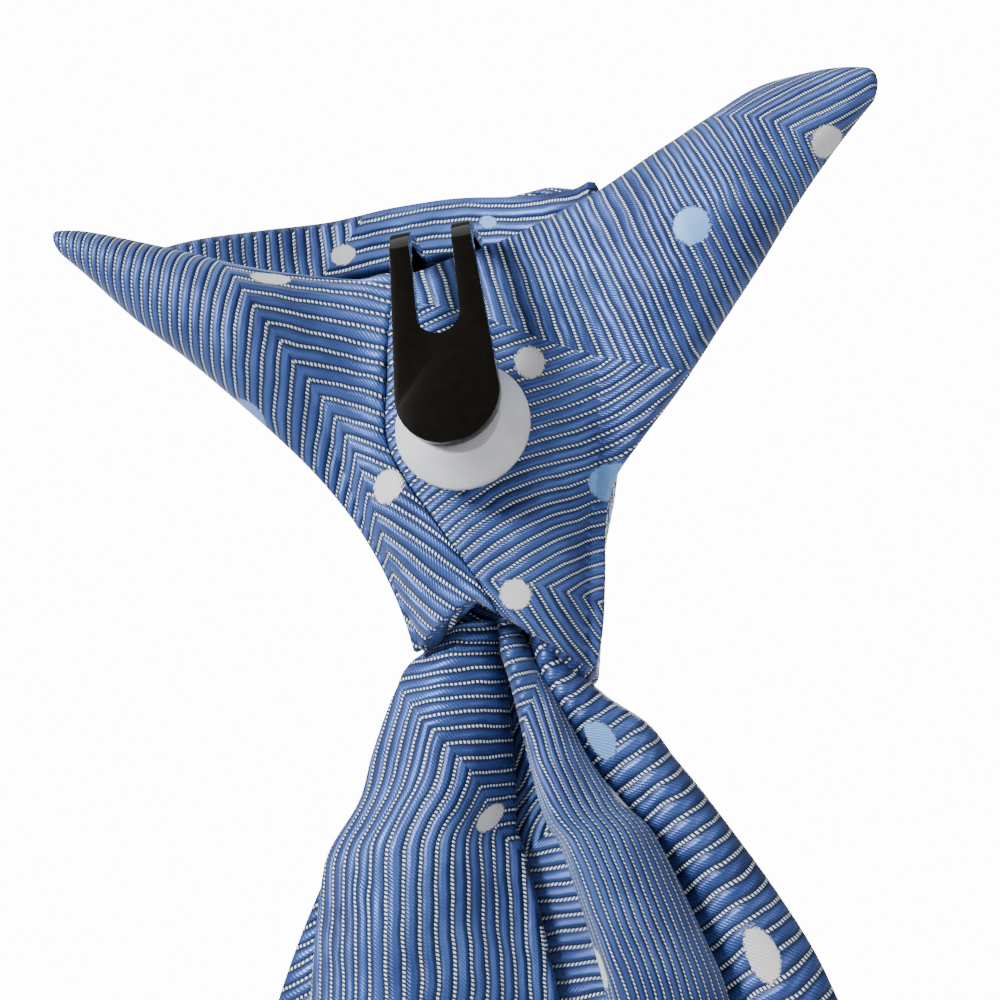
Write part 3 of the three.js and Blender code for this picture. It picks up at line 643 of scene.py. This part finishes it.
def sheet_form(middle, thickness, alongs, weave_of):
    """A sheet of even thickness on a middle surface, with rounded edges and closed ends."""

    def form(columns, rows):
        across, side, out = ring(columns)
        along = alongs(rows)
        a, b = np.meshgrid(across, along)
        small = 1e-3
        p = middle(a, b)
        sideways = middle(np.minimum(a + small, 1), b) - middle(np.maximum(a - small, 0), b)
        lengthways = middle(a, np.minimum(b + small, 1)) - middle(a, np.maximum(b - small, 0))
        normal = np.cross(sideways, lengthways)
        normal /= np.linalg.norm(normal, axis=-1)[..., None]
        sideways /= np.linalg.norm(sideways, axis=-1)[..., None]
        half = np.full(len(along), thickness / 2)
        half[0] = half[-1] = 0
        half[1] *= 0.7
        half[-2] *= 0.7
        places = p + normal * (side[None] * half[:, None])[..., None]
        places += sideways * (out[None] * half[:, None])[..., None]
        weave, mitre = weave_of(a, b, p)
        return places, weave, mitre

    return form


def blade_middle(folds, flare, length, half_width, side):
    """Middle surface of a folded blade: gathered in the knot, loose under it, flat further down."""
    neck = knot_size(KNOT_BOTTOM)
    neck_depth = neck["deep"] - KNOT_WALL
    layer = (CLOTH + HEM_GAP) / 2
    plane = side * (CLOTH + (HEM_GAP + BLADE_GAP) / 2)

    def middle(across, along):
        drop = (BLADE_TUCK + length) * along**1.7 - BLADE_TUCK
        down = drop / FLARE_LENGTH
        loose, flat = flare("loose", down), flare("flat", down)
        tight = 1 - loose - flat
        out = (
            tight * folds("neck_out", across)
            + loose * folds("loose_out", across)
            + flat * folds("flat_out", across)
        )
        fore = (
            tight * folds("neck_fore", across) * neck_depth
            + loose * folds("loose_fore", across) * BLADE_PUFF
            + flat * (plane + folds("flat_fore", across) * layer)
        )
        x = flare("lean", down) * half_width + flare("wide", down) * half_width * out
        point = POINT_SLOPE * np.abs(x) * smooth(0.45, 1, along)
        z = KNOT_BOTTOM - drop + point
        return np.stack([x, neck["middle"] + fore, z], -1)

    return middle


def blade_alongs(rows):
    """Close rows under the knot, and wider ones down the blade."""
    share = np.linspace(0, 1, rows + 1)
    return share ** (1.5 / 1.7)


def band_alongs(rows):
    return np.linspace(0, 1, rows + 1)


def band_middle(across, along):
    out = BAND_PATH("out", along)
    x = out * np.where(out < 0, BAND_LEFT, BAND_RIGHT)
    y = KNOT_BACK_FACE + BAND_PATH("fore", along) * KNOT_DEEP
    z = BAND_PATH("top", along) * KNOT_RISE - across * BAND_HEIGHT
    return np.stack([x, y, z], -1)


def band_weave(across, along, places):
    """Ribs run along the band, and square to it left of one mitre."""
    u = arc(places, 0)
    weave = np.stack([u - 37, across * BAND_HEIGHT + 0.5], -1)
    return weave, mitre_side(weave[..., 0] + weave[..., 1], [-4.0])


def rear_mitre(u, v, right_lobe):
    """Ribs turn once on the left fold and once on the right one, and then all down the blade."""
    left = mitre_side(u + v, [14, 70, 106, 142, 178, 214, 250, 286, 322])
    right = mitre_side(u - v, [12, 120, 156, 192, 228, 264, 300, 336])
    return np.where(right_lobe, right, left)


def front_mitre(u, v, right_lobe):
    return mitre_side(u + v, np.arange(90, 600, MITRE_STEP))


def blade_weave(left_centre, right_centre, mitre_of, tilt, close, space):
    """Lengths down and across the cloth, across from the middle of each of its two lobes."""

    def weave_of(across, along, places):
        columns = np.argsort(across[0], kind="stable")
        steps = np.linalg.norm(np.diff(places[:, columns], axis=1), axis=-1)
        width = np.concatenate([np.zeros((len(steps), 1)), np.cumsum(steps, 1)], 1)
        right_lobe = across > 0.66
        v = np.empty_like(width)
        v[:, columns] = width
        lobes = ((~right_lobe, left_centre, 1.0), (right_lobe, right_centre, close))
        for lobe, centre, squeeze in lobes:
            start = np.array([np.interp(centre, across[0][columns], row) for row in width])
            v = np.where(lobe, (v - start[:, None]) * squeeze, v)
        spine = places[:, np.argmin(np.abs(across[0] - left_centre))]
        u = arc(spine[:, None], 0) + spine[:, None, 2] - places[..., 2]
        spaced = np.minimum(u, FOLDED_LENGTH) * space + np.maximum(u - FOLDED_LENGTH, 0)
        u = spaced + tilt * v * smooth(140, FOLDED_LENGTH, u)
        return np.stack([u, v], -1), mitre_of(u, v, right_lobe)

    return weave_of


def dress(piece, material, slot, *nodes):
    """Gives a piece its material, and puts it in the place of the solids that it stands for."""
    piece.data.materials.append(material)
    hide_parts(*nodes)
    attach(piece, "root")
    return piece


# Cloth
knot = cloth_grid("knot_cloth", 320, 200, knot_form)
dress(knot, ribbed_silk("silk_knot", (), -200), "ribbed_silk", "knot")

right_weave = Table(
    "at angle stretch",
    [
        (0, 195, 1.6),
        (0.2, 196, 1.6),
        (0.3, 197, 1.4),
        (0.4, 196, 1.25),
        (0.5, 195, 1.12),
        (0.6, 188, 1),
        (0.7, 193, 1),
        (0.8, 205, 1),
        (0.9, 214, 1),
        (1, 222, 1),
    ],
    "at",
)
right_form = wing_form(RIGHT_WING, RIGHT_REACH, right_weave, 1.25, [-900, 20, 77, 128])
right = cloth_grid("right_wing_cloth", 200, 300, right_form)
right_dots = [
    (41.4, 6.6, 3.0, 3.0, "blue"),
    (13.7, 5.6, 3.2, 2.7, "white"),
    (65.0, 34.4, 2.4, 3.0, "blue"),
    (85.6, 44.9, 2.3, 2.4, "white"),
    (69.8, 12.6, 1.9, 2.6, "white"),
    (17.0, 21.0, 3.2, 2.6, "blue"),
    (38.0, 38.0, 3.0, 2.8, "white"),
    (56.0, 56.0, 2.5, 2.8, "blue"),
]
dress(right, ribbed_silk("silk_right", right_dots), "ribbed_silk", "right_wing")

left_weave = Table(
    "at angle stretch",
    [
        (0, -8, 2.1),
        (0.15, -10, 1.9),
        (0.3, -12, 1.5),
        (0.45, -14, 1.2),
        (0.55, -18, 1),
        (0.64, -26, 1),
        (0.73, -38, 1),
        (0.82, -46, 1),
        (1, -48, 1),
    ],
    "at",
)
left_form = wing_form(
    LEFT_WING,
    LEFT_REACH,
    left_weave,
    1.0,
    [36, 72],
    trim=lambda z: seam_edge(z) - 0.1,
    end=0.97,
)
left = cloth_grid("left_wing_cloth", 200, 260, left_form)
left_dots = [
    (43.9, -1.9, 2.8, 1.3, "white"),
    (65.1, -25.3, 1.7, 2.3, "white"),
    (42.5, -21.8, 2.8, 2.2, "blue"),
    (33.6, -30.0, 3.0, 2.3, "white"),
    (50.0, -40.0, 2.5, 2.3, "blue"),
]
dress(left, ribbed_silk("silk_left", left_dots), "ribbed_silk", "left_wing")

band_form = sheet_form(band_middle, BAND_THICK, band_alongs, band_weave)
band = cloth_grid("neck_band_cloth", 46, 240, band_form)
band_dots = [(-8.0, 4.8, 1.8, 1.4, "white"), (12.8, 3.4, 1.2, 1.0, "blue")]
dress(band, ribbed_silk("silk_band", band_dots), "ribbed_silk", "neck_band")

front_middle = blade_middle(FRONT_FOLDS, FRONT_FLARE, FRONT_LENGTH, FRONT_HALF, 1)
front_weave = blade_weave(0.15, 0.85, front_mitre, tilt=-0.35, close=1.0, space=0.8)
front_form = sheet_form(front_middle, CLOTH, blade_alongs, front_weave)
front = cloth_grid("front_blade_cloth", 200, 300, front_form)
front_dots = [(15.4, 3.7, 2.4, 1.7, "blue"), (42.3, -0.5, 2.8, 1.8, "white")]
dress(front, ribbed_silk("silk_front", front_dots, 60), "ribbed_silk", "front_blade")

rear_middle = blade_middle(REAR_FOLDS, REAR_FLARE, REAR_LENGTH, REAR_HALF, -1)
rear_weave = blade_weave(0.25, 0.875, rear_mitre, tilt=0.0, close=2.0, space=1.0)
rear_form = sheet_form(rear_middle, CLOTH, blade_alongs, rear_weave)
rear = cloth_grid("rear_blade_cloth", 200, 300, rear_form)
rear_dots = [(27.7, -13.3, 2.1, 1.9, "white"), (47.8, 13.3, 2.6, 2.6, "white")]
dress(rear, ribbed_silk("silk_rear", rear_dots, 70), "ribbed_silk", "rear_blade")


# Clip and button
def black_lacquer():
    lacquer = Finish("black_lacquer")
    grain = lacquer.noise(900.0, 2.0, lacquer.node("ShaderNodeTexCoord", {}, {}, 3))
    colour = lacquer.mix(grain.ramp(0.4, 0.7), (0.0022, 0.0018, 0.0012, 1), (0.003, 0.0024, 0.0016, 1))
    return lacquer.finish(Base_Color=colour, Roughness=0.12, Specular_IOR_Level=0.25)


def milky_plastic():
    milk = Finish("milky_plastic")
    cloud = milk.noise(120.0, 3.0, milk.node("ShaderNodeTexCoord", {}, {}, 3))
    colour = milk.mix(cloud.ramp(0.3, 0.7), (0.42, 0.43, 0.46, 1), (0.54, 0.55, 0.58, 1))
    return milk.finish(
        Base_Color=colour,
        Roughness=cloud * 0.2 + 0.15,
        Subsurface_Weight=0.4,
        Subsurface_Scale=0.003,
        Coat_Weight=0.3,
    )


def softened(node, name, width, segments):
    """A copy of a solid with its corners merged and its edges rounded."""
    maker = bmesh.new()
    maker.from_mesh(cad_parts[node].data)
    bmesh.ops.remove_doubles(maker, verts=maker.verts, dist=1e-6)
    bmesh.ops.dissolve_limit(
        maker, angle_limit=math.radians(1), verts=maker.verts, edges=maker.edges
    )
    sharp = [e for e in maker.edges if len(e.link_faces) == 2 and e.calc_face_angle() > 0.6]
    bmesh.ops.bevel(
        maker,
        geom=sharp,
        offset=width,
        offset_type="OFFSET",
        segments=segments,
        profile=0.5,
        affect="EDGES",
        clamp_overlap=True,
    )
    bmesh.ops.recalc_face_normals(maker, faces=maker.faces)
    for face in maker.faces:
        face.smooth = True
    mesh = bpy.data.meshes.new(name)
    maker.to_mesh(mesh)
    maker.free()
    return placed(name, mesh)


clip = softened("clip", "clip_plate", 0.00025, 3)
dress(clip, black_lacquer(), "black_lacquer", "clip")
button = softened("grip_button", "button", 0.0003, 3)
dress(button, milky_plastic(), "milky_plastic", "grip_button")


# Floor, light and camera
def floor(level):
    maker = bmesh.new()
    bmesh.ops.create_grid(maker, x_segments=1, y_segments=1, size=3.0)
    bmesh.ops.translate(maker, vec=(0, 0, level), verts=maker.verts)
    mesh = bpy.data.meshes.new("floor")
    maker.to_mesh(mesh)
    maker.free()
    # The floor is pale and also glows: this glow is painted light, lighting the cloth from below
    # though the floor is no lamp
    pale_glow = (0.86, 0.86, 0.86, 1)
    finish = Finish("floor")
    mesh.materials.append(
        finish.finish(Base_Color=pale_glow, Roughness=0.9, Emission_Color=pale_glow, Emission_Strength=0.5)
    )
    placed("floor", mesh)


floor(-0.51)

# The backdrop is brighter to the eye than it lights the cloth
world = bpy.data.worlds.new("studio")
world.use_nodes = True
backdrop = world.node_tree.nodes["Background"]
seen = world.node_tree.nodes.new("ShaderNodeLightPath").outputs["Is Camera Ray"]
strength = world.node_tree.nodes.new("ShaderNodeMapRange")
strength.inputs["To Min"].default_value = 0.2
strength.inputs["To Max"].default_value = 14.0
world.node_tree.links.new(seen, strength.inputs["Value"])
world.node_tree.links.new(strength.outputs[0], backdrop.inputs["Strength"])
backdrop.inputs["Color"].default_value = (1, 1, 1, 1)
bpy.context.scene.world = world


def area_light(name, place, aim, size, power):
    light = bpy.data.lights.new(name, "AREA")
    light.shape = "DISK"
    light.size = size
    light.energy = power
    lamp = bpy.data.objects.new(name, light)
    lamp.location = place
    lamp.rotation_mode = "QUATERNION"
    lamp.rotation_quaternion = (Vector(aim) - Vector(place)).to_track_quat("-Z", "Y")
    bpy.context.collection.objects.link(lamp)


area_light("key_light", (-0.30, -0.32, 0.20), (0, 0, 0), 0.15, 7.6)
area_light("fill_light", (0.50, -0.35, 0.05), (0, 0, -0.05), 0.35, 1.9)
area_light("front_light", (-0.10, 0.70, 0.10), (0, 0, -0.15), 0.5, 6.0)
area_light("edge_light", (-0.03, -0.10, 0.45), (0, 0, 0), 0.45, 1.0)

CAMERA_PLACE = Vector((0.03784, -0.24345, -0.09074))
CAMERA_AIM = Vector((0.00258, 0.00742, -0.03226))
CAMERA_ROLL = math.radians(8)
forward = (CAMERA_AIM - CAMERA_PLACE).normalized()
level = forward.cross(Vector((0, 0, 1))).normalized()
upward = level.cross(forward)
right_axis = level * math.cos(CAMERA_ROLL) - upward * math.sin(CAMERA_ROLL)
up_axis = upward * math.cos(CAMERA_ROLL) + level * math.sin(CAMERA_ROLL)
camera_data = bpy.data.cameras.new("camera")
camera_data.lens = 74.88
camera_data.sensor_width = 36
camera_data.clip_start = 0.01
camera = bpy.data.objects.new("camera", camera_data)
axes = Matrix((right_axis, up_axis, -forward)).transposed()
camera.matrix_world = Matrix.Translation(CAMERA_PLACE) @ axes.to_4x4()
bpy.context.collection.objects.link(camera)
bpy.context.scene.camera = camera
